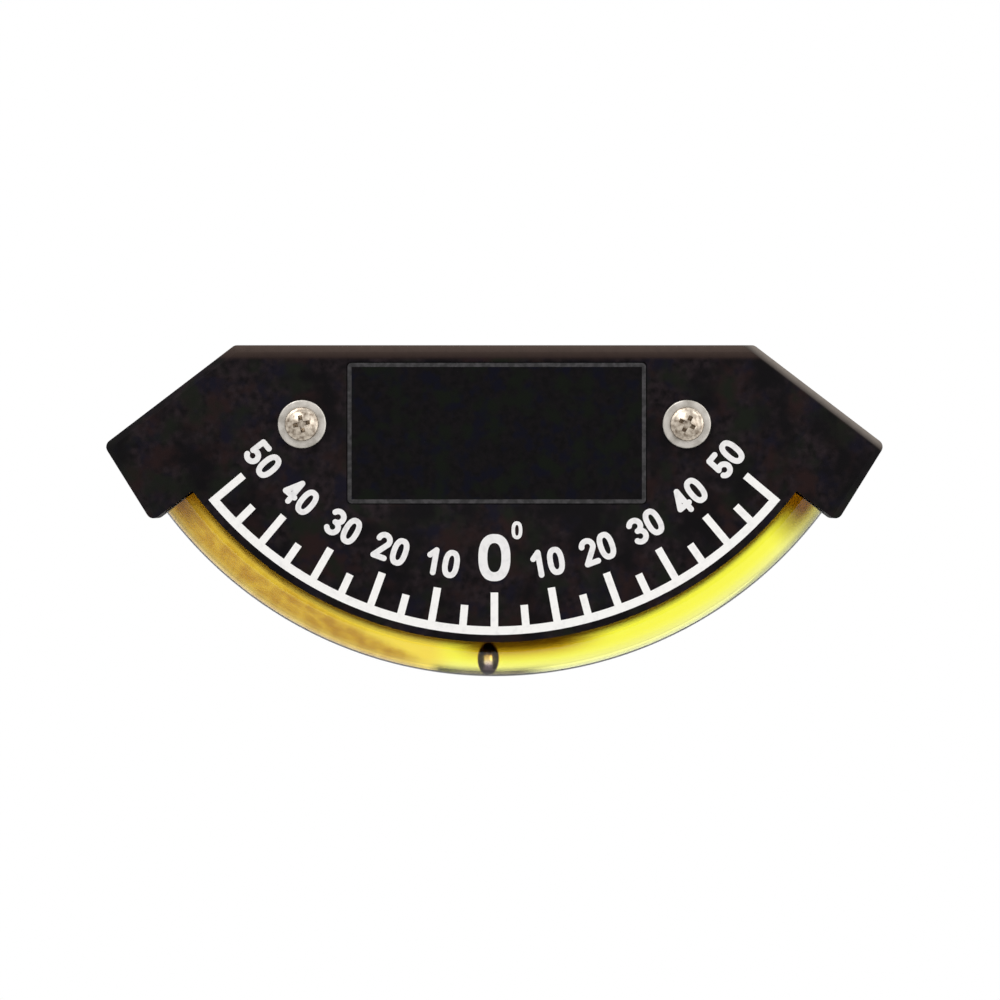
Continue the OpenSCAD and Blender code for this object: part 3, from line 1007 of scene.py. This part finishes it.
@dataclass
class Housing:
    """The moulded housing with its rounded edges, the back cover and the bare nameplate."""

    film: MouldedPlastic = MouldedPlastic(
        "nameplate_film",
        dark=(8, 7, 8),
        pale=(17, 14, 16),
        tints=((9, 9, 20), (13, 17, 11)),
        roughness=(0.3, 0.42),
        patch=1.2 * MM,
    )
    cover: MouldedPlastic = MouldedPlastic(
        "cover_plastic", dark=(17, 15, 17), pale=(28, 24, 26), tints=((30, 23, 22),)
    )
    # The raised ring round the plate is grey as a painted highlight on its moulded edge.
    border_ink: PrintingInk = PrintingInk(
        "border_ink", full=(56, 54, 56), thin=(26, 25, 26), cover=(0.42, 0.62)
    )
    dark: Colour = (11, 8, 10)
    pale: Colour = (35, 28, 31)
    tints: tuple[Colour, ...] = ((17, 15, 26), (33, 21, 21), (20, 23, 17), (10, 8, 10))
    # Painted highlight colours for the top bevel and the upper-right bevel, edge first.
    brow_tones: tuple[Colour, Colour] = ((72, 60, 54), (37, 26, 25))
    shoulder_tones: tuple[Colour, Colour] = ((122, 114, 107), (40, 33, 31))
    rounding: float = 0.3 * MM
    rounding_steps: int = 3
    rim_rounding: float = 0.12 * MM
    rim_steps: int = 2
    weld: float = 0.002 * MM
    level_slack: float = 0.1 * MM
    flat_angle: float = 1.0
    sharp_angle: float = 25.0
    crease: float = 32.0
    screw_clear: float = 6 * MM
    plate_margin: float = 1 * MM
    bevel: float = 1.5 * MM
    slope: Pair = (0.606, 0.795)
    shoulder_width: float = 2.0 * MM
    border_in: float = 0.05 * MM
    border_width: float = 0.85 * MM
    border_height: float = 0.06 * MM
    corner: float = 0.95 * MM
    corner_steps: int = 6

    def build(self) -> None:
        """Builds the housing's pieces and gives them their finishes."""
        self.shell()
        self.border()
        dress("back_cover", self.cover.material())
        dress("nameplate", self.film.material())

    def shell(self) -> None:
        """Copies the housing's shape and rounds its outer edges, as a mould does."""
        work = bmesh.new()
        work.from_mesh(frame["nodes"]["front_housing"].data)
        bmesh.ops.remove_doubles(work, verts=work.verts, dist=self.weld)
        angle = math.radians(self.flat_angle)
        bmesh.ops.dissolve_limit(work, angle_limit=angle, verts=work.verts, edges=work.edges)
        outer, rim = self.edges_to_round(work)
        self.round_off(work, outer, self.rounding, self.rounding_steps)
        self.round_off(work, [edge for edge in rim if edge.is_valid], self.rim_rounding, self.rim_steps)
        mesh = bpy.data.meshes.new("housing_shell")
        work.to_mesh(mesh)
        work.free()
        shade(mesh, self.crease)
        piece = place_mesh("housing_shell", mesh)
        mesh.materials.append(self.plastic(mesh).material())
        settle(piece, "housing", "housing_plastic", "front_housing")

    def edges_to_round(self, work: bmesh.types.BMesh) -> tuple[Edges, Edges]:
        """Picks the sharp edges at the face and at the foot of its bevel, away from the screws.

        Args:
            work: The housing's mesh.

        Returns:
            The outer edges, and the edges round the plate.
        """
        face_y = min(vert.co.y for vert in work.verts)
        low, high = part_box("nameplate")
        margin = self.plate_margin
        outer: Edges = []
        rim: Edges = []
        for edge in work.edges:
            if len(edge.link_faces) != 2 or edge.calc_face_angle_signed() < math.radians(self.sharp_angle):
                continue
            first, second = (vert.co for vert in edge.verts)
            middle = (first + second) / 2
            depth = abs(middle.y - face_y)
            on_line = depth < self.weld or abs(depth - self.bevel) < self.level_slack
            if abs(first.y - second.y) >= self.weld or not on_line:
                continue
            beside = low.x - margin < middle.x < high.x + margin
            if beside and low.z - margin < middle.z < high.z + margin:
                rim.append(edge)
            elif self.screw_gap(middle) > self.screw_clear:
                outer.append(edge)
        LOG.info("housing edges to round: %d outer, %d round the plate", len(outer), len(rim))
        return outer, rim

    def round_off(self, work: bmesh.types.BMesh, edges: Edges, radius: float, steps: int) -> None:
        """Rounds edges of a mesh.

        Args:
            work: The mesh.
            edges: The edges.
            radius: How far from the edge the rounding starts.
            steps: How many steps the rounding has.
        """
        bmesh.ops.bevel(
            work, geom=edges, offset=radius, segments=steps, profile=0.5, affect="EDGES", clamp_overlap=True
        )

    def plastic(self, mesh: bpy.types.Mesh) -> MouldedPlastic:
        """Describes the housing's plastic, with painted highlights on its shoulders on its upper right and
        along its top.

        Args:
            mesh: The housing's mesh.

        Returns:
            The finish.
        """
        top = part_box("front_housing")[1].z
        reach = max(self.slope[0] * vert.co.x + self.slope[1] * vert.co.z for vert in mesh.vertices)
        # Painted highlights: the top bevel lit from above, the upper-right bevel lit from the upper right.
        brow = Shoulder((0.0, 1.0), top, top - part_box("nameplate")[1].z, *self.brow_tones)
        shoulder = Shoulder(self.slope, reach, self.shoulder_width, *self.shoulder_tones)
        return MouldedPlastic("housing_plastic", self.dark, self.pale, self.tints, (brow, shoulder))

    def screw_gap(self, place: Vector) -> float:
        """Gives a place's distance from the nearer mounting screw's axis."""
        low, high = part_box("mounting_washer_right")
        axis = (low + high) / 2
        return math.hypot(abs(place.x) - axis.x, place.z - axis.z)

    def border(self) -> None:
        """Builds the thin raised ring just inside the plate's outline, grey as a painted highlight on the
        moulded edge there.
        """
        low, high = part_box("nameplate")
        corners = ((high.x, high.z), (low.x, high.z), (low.x, low.z), (high.x, low.z))
        points: list[Point] = []
        for inset in (self.border_in, self.border_in + self.border_width):
            bend_radius = self.corner - inset
            for turn, (x, z) in enumerate(corners):
                centre = (x - math.copysign(self.corner, x), z - math.copysign(self.corner, z))
                for at in bend(centre, bend_radius, 90 * turn, 90 * turn + 90, self.corner_steps):
                    points.append((at[0], low.y, at[1]))
        count = len(points) // 2
        raised = [(x, y - self.border_height, z) for x, y, z in points]
        flat: Faces = []
        sides: Faces = []
        for corner in range(count):
            after = (corner + 1) % count
            flat.append((corner, after, count + after, count + corner))
            for first in (0, count):
                near, far = first + corner, first + after
                sides.append((near, far, far + 2 * count, near + 2 * count))
        top = [tuple(corner + 2 * count for corner in face) for face in flat]
        piece = make_piece("plate_border", points + raised, flat + top + sides)
        # Painted highlight: the ring's grey stands for light caught by the moulded edge.
        piece.data.materials.append(self.border_ink.material())
        settle(piece, "housing", "nameplate_film")


@dataclass
class DegreeScale:
    """The printed scale line, its marks and its numerals."""

    ink: PrintingInk = PrintingInk("white_ink", full=(246, 244, 241), thin=(232, 230, 228))
    numeral_ink: PrintingInk = PrintingInk("numeral_ink", full=(236, 234, 233), thin=(216, 214, 214))

    def build(self) -> None:
        """Gives the print its ink."""
        dress("scale_marks", self.ink.material())
        dress("scale_numerals", self.numeral_ink.material())


@dataclass
class SightTube:
    """The clear tube, the liquid in it and what holds and closes it."""

    arc: Arc
    along: int = 240
    around: int = 72
    rubber: SoftMoulding = SoftMoulding("black_rubber", (34, 33, 34), cell=0.5 * MM, depth=0.02 * MM)
    foam: SoftMoulding = SoftMoulding(
        "bedding_foam", (30, 29, 30), cell=0.3 * MM, depth=0.05 * MM, roughness=0.9
    )
    nylon: SoftMoulding = SoftMoulding(
        "plug_nylon", (226, 222, 210), cell=1.2 * MM, depth=0.01 * MM, roughness=0.45
    )

    def build(self) -> None:
        """Builds the tube and the liquid and dresses the rest."""
        self.tube()
        self.liquid()
        rubber = self.rubber.material()
        nylon = self.nylon.material()
        dress("bedding_strip", self.foam.material())
        for side in Side:
            dress(f"end_plug_{side.word}", nylon)
            dress(f"plug_o_ring_{side.word}", rubber)
            dress(f"end_boot_{side.word}", rubber)

    def tube(self) -> None:
        """Builds the tube with its bore and its cut ends."""
        rings = self.along + 1
        count = rings * self.around
        span = (-self.arc.end, self.arc.end, self.along, self.around)
        points = self.arc.sweep(self.arc.outer, *span) + self.arc.sweep(self.arc.bore, *span)
        outside = grid_faces(rings, self.around)
        inside = [tuple(count + corner for corner in face) for face in outside]
        ends: Faces = []
        for first in (0, (rings - 1) * self.around):
            for turn in range(self.around):
                near, far = first + turn, first + (turn + 1) % self.around
                ends.append((near, far, count + far, count + near))
        piece = make_piece("sight_tube", points, outside + ends + inside)
        piece.data.materials.append(ClearAcrylic(self.arc).material())
        piece.data.materials.append(WettedWall().material())
        wall_from = len(outside) + len(ends)
        for polygon in piece.data.polygons:
            polygon.material_index = 1 if polygon.index >= wall_from else 0
        settle(piece, "housing", "clear_tube", "vial_tube")

    def liquid(self) -> None:
        """Builds the liquid as one column from plug to plug."""
        low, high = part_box("damping_fluid")
        radius = (high.y - low.y) / 2
        end = math.asin(high.x / (self.arc.tube_radius + radius))
        points = self.arc.sweep(radius, -end, end, self.along, self.around)
        piece = make_piece("liquid_column", points, capped_faces(self.along + 1, self.around))
        piece.data.materials.append(TintedLiquid(self.arc).material())
        settle(piece, "housing", "tinted_liquid", "damping_fluid")


@dataclass
class IndicatorBall:
    """The polished steel ball that shows the angle."""

    steel: Metal = Metal(
        "ball_steel",
        bright=(246, 222, 236),
        dull=(206, 182, 196),
        roughness=(0.22, 0.3),
        grain=0.3 * MM,
        depth=0.001 * MM,
    )
    rings: int = 64
    pole: float = 0.002
    crease: float = 60.0

    def build(self) -> None:
        """Builds the ball from its box in the model."""
        low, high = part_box("indicator_ball")
        centre = (low + high) / 2
        radius = (high.x - low.x) / 2
        angles = [math.pi * level / self.rings for level in range(self.rings + 1)]
        profile = [(radius * max(math.sin(angle), self.pole), -radius * math.cos(angle)) for angle in angles]
        steps = 2 * self.rings
        points = lathe(profile, steps, Matrix.Translation(centre))
        piece = make_piece("steel_ball", points, capped_faces(len(profile), steps), self.crease)
        piece.data.materials.append(self.steel.material())
        settle(piece, "ball", "ball_steel", "indicator_ball")


@dataclass
class MountingHardware:
    """The two mounting screws with their washers and sleeves."""

    steel: Metal = Metal(
        "screw_plating",
        bright=(198, 187, 172),
        dull=(120, 106, 92),
        roughness=(0.3, 0.46),
        grain=0.2 * MM,
        depth=0.006 * MM,
        patch=0.9 * MM,
    )
    washer: Metal = Metal(
        "washer_plating",
        bright=(190, 185, 178),
        dull=(150, 145, 137),
        roughness=(0.36, 0.5),
        grain=0.2 * MM,
    )
    sleeve: Metal = Metal(
        "sleeve_steel", bright=(170, 167, 162), dull=(130, 127, 122), roughness=(0.3, 0.45)
    )
    left_turn: float = 12.0
    right_turn: float = 63.0
    steps: int = 48
    dome: float = 1.54 * MM
    dome_steps: int = 12
    pole: float = 0.01
    shoulder: float = 0.45 * MM
    shoulder_drop: float = 0.9
    seat_rounding: float = 0.15 * MM
    neck: float = 1.75 * MM
    neck_end: float = 0.1 * MM
    thread_crest: float = 2.0 * MM
    thread_root: float = 1.61 * MM
    thread_flat: float = 0.07
    thread_flank: float = 0.33
    thread_run: float = 0.2 * MM
    tip_slope: float = 0.9
    tip_share: float = 0.9
    pitch: float = 0.7 * MM
    rows_per_turn: int = 10
    chamfer: float = 0.5 * MM
    cross_arms: int = 2
    cross_length: float = 4.2 * MM
    cross_width: float = 0.95 * MM
    cross_depth: float = 1.9 * MM
    cross_taper: float = 0.42
    cross_thinning: float = 0.4
    cutter_rise: float = 1 * MM
    cutter_flare: float = 0.5
    washer_rounding: float = 0.3 * MM
    edge_rounding: float = 0.1 * MM
    hole: float = 2.15 * MM

    def build(self) -> None:
        """Builds the screws and washers and dresses the sleeves."""
        steel, washer, sleeve = (finish.material() for finish in (self.steel, self.washer, self.sleeve))
        for side, turn in ((Side.LEFT, self.left_turn), (Side.RIGHT, self.right_turn)):
            self.screw(side, turn).data.materials.append(steel)
            self.flat_washer(side).data.materials.append(washer)
            dress(f"mounting_sleeve_{side.word}", sleeve)

    def axis(self, node: str) -> Matrix:
        """Gives the axis of a round node, which runs from the back to the viewer.

        Args:
            node: The node's name.

        Returns:
            The axis, from the back face along Z.
        """
        low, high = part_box(node)
        foot = Matrix.Translation(((low.x + high.x) / 2, 0, (low.z + high.z) / 2))
        return foot @ Matrix.Rotation(math.pi / 2, 4, "X")

    def screw(self, side: Side, turn: float) -> bpy.types.Object:
        """Builds one pan-head screw, its axis along Y and its head towards the viewer.

        Args:
            side: The side that it is on.
            turn: How far its cross is turned, in degrees.

        Returns:
            The screw.
        """
        node = f"mounting_screw_{side.word}"
        low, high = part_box(node)
        place = self.axis(node)
        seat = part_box(f"mounting_washer_{side.word}")[0].y
        top, tip = -low.y, -high.y
        profile = self.head_profile((high.x - low.x) / 2, top, -seat)
        points = lathe(profile, self.steps, place)
        rows = round(-tip / self.pitch * self.rows_per_turn)
        angles = turns(self.steps)
        for row in range(rows + 1):
            height = tip * row / rows
            points += [about(place, self.thread(height, angle, tip), angle, height) for angle in angles]
        faces = capped_faces(len(profile) + rows + 1, self.steps)
        piece = make_piece(f"pan_screw_{side.word}", points, faces)
        carve(piece, [self.cross_arm(place, top, turn + 90 * arm) for arm in range(self.cross_arms)])
        return settle(piece, "housing", "screw_steel", node)

    def head_profile(self, head: float, top: float, foot: float) -> list[Pair]:
        """Draws a screw's domed head and the neck below it.

        Args:
            head: The head's radius.
            top: The height of its top.
            foot: The height where it sits on its washer.

        Returns:
            Radii and heights from the top to the neck's end.
        """
        bulge = (head**2 + self.dome**2) / (2 * self.dome)
        reach = math.degrees(math.asin((head - self.shoulder) / bulge))
        profile = [(head * self.pole, top)]
        first = 90 - reach / self.dome_steps
        profile += bend((0, top - bulge), bulge, first, 90 - reach, self.dome_steps - 1)
        edge = profile[-1][1] - self.shoulder * self.shoulder_drop
        profile += bend((head - self.shoulder, edge), self.shoulder, 45, 0, steps=4)
        soft = self.seat_rounding
        profile += bend((head - soft, foot + soft), soft, 0, -90, steps=3)
        return profile + [(self.neck, foot), (self.neck, self.neck_end)]

    def thread(self, height: float, angle: float, tip: float) -> float:
        """Gives the thread's radius at one point of the stud.

        Args:
            height: The height along the screw.
            angle: The angle about its axis.
            tip: The height of the stud's end.

        Returns:
            The radius, cut back at the chamfered end and where the thread runs out.
        """
        phase = (height / self.pitch + angle / math.tau) % 1
        flank = min(max((0.5 - abs(phase - 0.5) - self.thread_flat) / self.thread_flank, 0.0), 1.0)
        radius = self.thread_root + (self.thread_crest - self.thread_root) * flank
        limit = self.thread_crest - max(0.0, self.chamfer - (height - tip)) * self.tip_slope
        limit = max(limit, self.thread_root * self.tip_share)
        return min(radius, limit, self.neck + max(-height - self.thread_run, 0.0))

    def cross_arm(self, place: Matrix, top: float, turn: float) -> bpy.types.Object:
        """Builds one arm of the tapered cross that is cut into a head.

        Args:
            place: Where the screw stands.
            top: The height of the head's top.
            turn: How far the arm is turned, in degrees.

        Returns:
            The cutter.
        """
        spin = place @ Matrix.Rotation(math.radians(turn), 4, "Z")
        flare = 1 + (1 - self.cross_taper) * self.cutter_flare
        points: list[Point] = []
        for height, share in ((top - self.cross_depth, self.cross_taper), (top + self.cutter_rise, flare)):
            half = self.cross_length / 2 * share
            thick = self.cross_width / 2 * (1 - self.cross_thinning + self.cross_thinning * share)
            corners = ((half, thick), (-half, thick), (-half, -thick), (half, -thick))
            points += [tuple(spin @ Vector((x, y, height))) for x, y in corners]
        return make_piece(f"cross_cutter_{turn:.0f}", points, capped_faces(2, 4))

    def flat_washer(self, side: Side) -> bpy.types.Object:
        """Builds one washer with rounded edges.

        Args:
            side: The side that it is on.

        Returns:
            The washer.
        """
        node = f"mounting_washer_{side.word}"
        low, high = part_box(node)
        outer = (high.x - low.x) / 2
        soft, small = self.washer_rounding, self.edge_rounding
        front, back = -low.y, -high.y
        section = bend((outer - soft, front - soft), soft, 90, 0, steps=4)
        section += [(outer, back + small), (outer - small, back), (self.hole, back)]
        section += bend((self.hole + small, front - small), small, 180, 90, steps=2)
        piece = make_piece(f"round_washer_{side.word}", *ring(section, 2 * self.steps, self.axis(node)))
        return settle(piece, "housing", "washer_steel", node)


@dataclass
class CoverScrews:
    """The four countersunk screws of the back cover."""

    steel: Metal = Metal(
        "cover_screw_zinc", bright=(150, 149, 150), dull=(112, 110, 108), roughness=(0.3, 0.45)
    )

    def build(self) -> None:
        """Gives the screws their finish."""
        zinc = self.steel.material()
        for level in ("upper", "lower"):
            for side in Side:
                dress(f"cover_screw_{level}_{side.word}", zinc)


@dataclass(frozen=True)
class Lamp:
    """A square soft lamp that points at the object."""

    name: str
    place: Point
    size: float
    power: float
    aim: Point = (0, 0, -0.015)

    def build(self) -> None:
        """Adds the lamp to the scene."""
        data = bpy.data.lights.new(self.name, "AREA")
        data.size = self.size
        data.energy = self.power
        lamp = bpy.data.objects.new(self.name, data)
        lamp.location = self.place
        lamp.rotation_euler = (Vector(self.aim) - Vector(self.place)).to_track_quat("-Z", "Y").to_euler()
        bpy.context.scene.collection.objects.link(lamp)


@dataclass
class Studio:
    """The camera, the light and the pale floor."""

    lamps: tuple[Lamp, ...] = (
        Lamp("key_lamp", (-0.45, -0.8, 0.85), size=0.5, power=7.0),
        Lamp("fill_lamp", (0.8, -0.75, 0.1), size=0.7, power=3.0),
        Lamp("rim_lamp", (0.75, -0.1, 0.85), size=0.4, power=3.5),
        Lamp("back_lamp", (0.1, 0.6, 0.9), size=1.2, power=2.2),
    )
    photo_width: float = 212.1 * MM
    photo_centre: Pair = (1.19 * MM, -16.08 * MM)
    distance: float = 1.0
    face_y: float = -14 * MM
    sensor: float = 36.0
    nearest: float = 0.01
    floor_drop: float = 150 * MM
    floor_reach: float = 0.6
    floor_steps: int = 64
    ambient: float = 0.42

    def build(self) -> None:
        """Sets the camera, the world, the lamps and the floor."""
        self.camera()
        self.world()
        for lamp in self.lamps:
            lamp.build()
        self.floor()

    def camera(self) -> None:
        """Looks straight at the face from far off, as the photograph does."""
        data = bpy.data.cameras.new("photo_camera")
        data.sensor_width = self.sensor
        data.lens = self.sensor * self.distance / self.photo_width
        data.clip_start = self.nearest
        camera = bpy.data.objects.new("photo_camera", data)
        camera.location = (self.photo_centre[0], self.face_y - self.distance, self.photo_centre[1])
        camera.rotation_euler = (math.pi / 2, 0, 0)
        bpy.context.scene.collection.objects.link(camera)
        bpy.context.scene.camera = camera

    def world(self) -> None:
        """Lights the object softly, and shows plain white behind it, in metal and through clear pieces."""
        world = bpy.data.worlds.new("studio_world")
        world.use_nodes = True
        tree = world.node_tree
        soft = tree.nodes["Background"]
        white = tree.nodes.new("ShaderNodeBackground")
        for background, strength in ((soft, self.ambient), (white, 1.0)):
            background.inputs["Color"].default_value = (1, 1, 1, 1)
            background.inputs["Strength"].default_value = strength
        rays = tree.nodes.new("ShaderNodeLightPath")
        seen = rays.outputs["Is Camera Ray"]
        for kind in ("Is Glossy Ray", "Is Transmission Ray"):
            either = tree.nodes.new("ShaderNodeMath")
            either.operation = "MAXIMUM"
            tree.links.new(seen, either.inputs[0])
            tree.links.new(rays.outputs[kind], either.inputs[1])
            seen = either.outputs[0]
        mix = tree.nodes.new("ShaderNodeMixShader")
        tree.links.new(seen, mix.inputs["Fac"])
        tree.links.new(soft.outputs[0], mix.inputs[1])
        tree.links.new(white.outputs[0], mix.inputs[2])
        tree.links.new(mix.outputs[0], tree.nodes["World Output"].inputs["Surface"])
        bpy.context.scene.world = world

    def floor(self) -> None:
        """Lays a pale floor below the object, out of the photograph's view."""
        low, _ = CAD_BOX
        reach = self.floor_reach
        edge = [(reach * math.cos(turn), reach * math.sin(turn), 0.0) for turn in turns(self.floor_steps)]
        floor = make_piece("floor", edge, [tuple(range(self.floor_steps))])
        floor.location.z = low.z - self.floor_drop
        floor.data.materials.append(PaleFloor(reach / 2, reach).material())


def main() -> None:
    """Builds the object and its studio, piece by piece."""
    logging.basicConfig(level=logging.INFO, format="%(name)s: %(message)s")
    bpy.context.scene.view_settings.view_transform = "Standard"
    arc = Arc.from_frame()
    Studio().build()
    Housing().build()
    DegreeScale().build()
    SightTube(arc).build()
    IndicatorBall().build()
    MountingHardware().build()
    CoverScrews().build()


if __name__ == "__main__":
    main()
